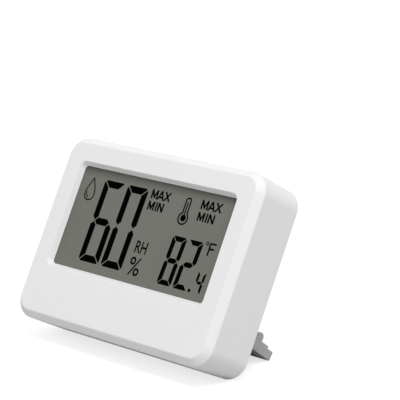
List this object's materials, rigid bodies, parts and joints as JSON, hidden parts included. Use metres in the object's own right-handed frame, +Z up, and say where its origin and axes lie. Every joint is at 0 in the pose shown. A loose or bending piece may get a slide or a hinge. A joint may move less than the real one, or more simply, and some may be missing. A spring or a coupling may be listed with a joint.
{
  "type": "temperature humidity sensor",
  "caption": "Small white indoor sensor with a large display for humidity and temperature, leaning back on a fold-out stand, with push buttons and a cell door on its back.",
  "frame": {"origin": "middle of the part's box on the surface it stands on", "axes": "+X to the reader's right along the case, +Y to the back, +Z up"},
  "size_m": [0.06, 0.0322, 0.045],
  "materials": {
    "case_white": "fine moulded matt",
    "stand_grey": "moulded satin",
    "button_grey": "moulded satin",
    "display_film": "anti-glare film",
    "clear_glass": "clear",
    "reflector_foil": "satin foil",
    "frame_white": "moulded",
    "strip_rubber": "matt",
    "board_green": "solder mask",
    "moulded_black": "matt",
    "sensor_cream": "matt",
    "chip_tan": "ceramic",
    "nickel_plate": "nickel plate",
    "zinc_steel": "zinc plate"
  },
  "bodies": {
    "case": {"front_case": "case_white", "rear_cover": "case_white", "lcd_front_film": "display_film", "lcd_front_glass": "clear_glass", "lcd_rear_glass": "clear_glass", "lcd_reflector": "reflector_foil", "lcd_frame": "frame_white", "contact_strip": "strip_rubber", "circuit_board": "board_green", "chip_cap": "moulded_black", "key_switches": "moulded_black", "humidity_sensor": "sensor_cream", "board_components": "chip_tan", "quartz_crystal": "nickel_plate", "button_cells": "nickel_plate", "cell_contacts": "nickel_plate", "stand_pin": "zinc_steel", "case_screws": "zinc_steel", "board_screws": "zinc_steel"},
    "stand": {"stand_leg": "stand_grey"},
    "units_key": {"units_button": "button_grey"},
    "memory_key": {"memory_button": "button_grey"},
    "door": {"battery_door": "case_white", "door_contact": "nickel_plate"}
  },
  "joints": [
    {"name": "stand_fold", "type": "hinge", "parent": "case", "child": "stand", "pos_m": [0, -0.00049, 0.0109], "axis": [1, 0, 0], "range_deg": [0, 99]},
    {"name": "units_press", "type": "slide", "parent": "case", "child": "units_key", "axis": [0, -0.8892, 0.4575], "range_m": [0, 0.0004], "stiffness_N_per_m": 300},
    {"name": "memory_press", "type": "slide", "parent": "case", "child": "memory_key", "axis": [0, -0.8892, 0.4575], "range_m": [0, 0.0004], "stiffness_N_per_m": 300},
    {"name": "door_lift", "type": "slide", "parent": "case", "child": "door", "axis": [0, 0.8892, -0.4575], "range_m": [0, 0.008]}
  ]
}
